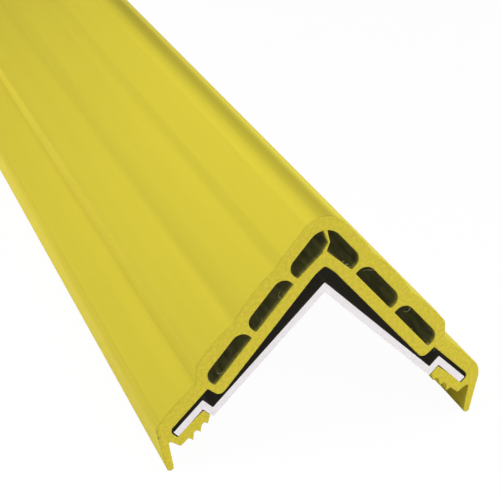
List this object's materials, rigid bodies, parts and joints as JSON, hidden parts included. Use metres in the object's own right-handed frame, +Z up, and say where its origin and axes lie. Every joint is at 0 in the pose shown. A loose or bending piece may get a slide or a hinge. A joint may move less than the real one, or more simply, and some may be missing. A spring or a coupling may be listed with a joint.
{
  "type": "wall corner guard",
  "caption": "Long guard for an outside wall corner: a soft yellow hollow cover with barbed jaws and sealing lips, clipped over a stepped metal rail.",
  "frame": {"origin": "on the surface that the guard lies on, under the middle of its length", "axes": "+Z up through the crown, +Y along the length away from the cut end in the picture, +X to the right"},
  "size_m": [0.095, 1, 0.0683],
  "materials": {
    "yellow_vinyl": "satin",
    "white_metal": "satin"
  },
  "bodies": {
    "root": {"cover": "yellow_vinyl", "rail": "white_metal"}
  },
  "joints": []
}
